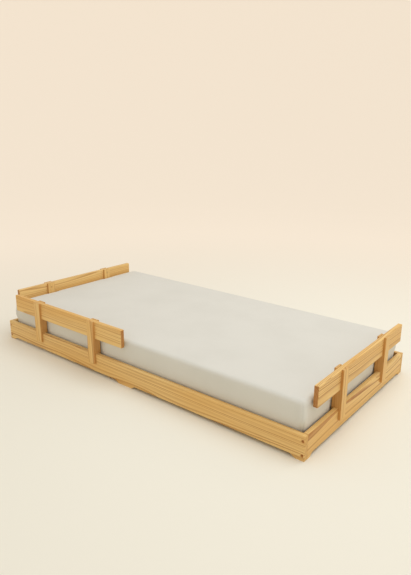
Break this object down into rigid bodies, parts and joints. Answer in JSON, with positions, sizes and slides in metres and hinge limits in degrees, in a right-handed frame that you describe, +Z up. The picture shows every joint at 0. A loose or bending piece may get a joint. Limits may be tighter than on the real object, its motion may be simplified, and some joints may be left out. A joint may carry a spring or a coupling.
{
  "type": "toddler bed",
  "caption": "Low pine toddler bed on slats, with lift-off guard boards at the head, foot and side, and a mattress in a fitted sheet.",
  "frame": {"origin": "on the floor, in the middle of the whole bed's footprint", "axes": "+X along the bed from the head to the foot, +Y across it from the side with the guard to the open side, +Z up"},
  "size_m": [1.4668, 0.7644, 0.208],
  "materials": {
    "rail_pine": "satin",
    "slat_pine": "matte",
    "guard_pine": "satin",
    "bolt_steel": "satin",
    "nut_steel": "satin",
    "screw_steel": "satin",
    "mattress_foam": "matte",
    "sheet_cotton": "matte"
  },
  "bodies": {
    "bed_frame": {"near_side_rail": "rail_pine", "far_side_rail": "rail_pine", "head_end_rail": "rail_pine", "foot_end_rail": "rail_pine", "near_ledger": "slat_pine", "far_ledger": "slat_pine", "slat_01": "slat_pine", "slat_02": "slat_pine", "slat_03": "slat_pine", "slat_04": "slat_pine", "slat_05": "slat_pine", "slat_06": "slat_pine", "slat_07": "slat_pine", "slat_08": "slat_pine", "slat_09": "slat_pine", "slat_10": "slat_pine", "slat_11": "slat_pine", "slat_12": "slat_pine", "slat_13": "slat_pine", "corner_bolts": "bolt_steel", "barrel_nuts": "nut_steel", "ledger_screws": "screw_steel", "slat_screws": "screw_steel"},
    "side_guard": {"side_guard_board": "guard_pine", "side_guard_head_end_post": "guard_pine", "side_guard_foot_end_post": "guard_pine", "side_guard_screws": "screw_steel"},
    "head_guard": {"head_guard_board": "guard_pine", "head_guard_near_post": "guard_pine", "head_guard_far_post": "guard_pine", "head_guard_screws": "screw_steel"},
    "foot_guard": {"foot_guard_board": "guard_pine", "foot_guard_near_post": "guard_pine", "foot_guard_far_post": "guard_pine", "foot_guard_screws": "screw_steel"},
    "mattress": {"mattress": "mattress_foam", "fitted_sheet": "sheet_cotton"}
  },
  "joints": [
    {"name": "side_guard_lift", "type": "slide", "parent": "bed_frame", "child": "side_guard", "axis": [0, 0, 1], "range_m": [0, 0.25]},
    {"name": "head_guard_lift", "type": "slide", "parent": "bed_frame", "child": "head_guard", "axis": [0, 0, 1], "range_m": [0, 0.25]},
    {"name": "foot_guard_lift", "type": "slide", "parent": "bed_frame", "child": "foot_guard", "axis": [0, 0, 1], "range_m": [0, 0.25]},
    {"name": "mattress_lift", "type": "slide", "parent": "bed_frame", "child": "mattress", "axis": [0, 0, 1], "range_m": [0, 0.25]}
  ]
}
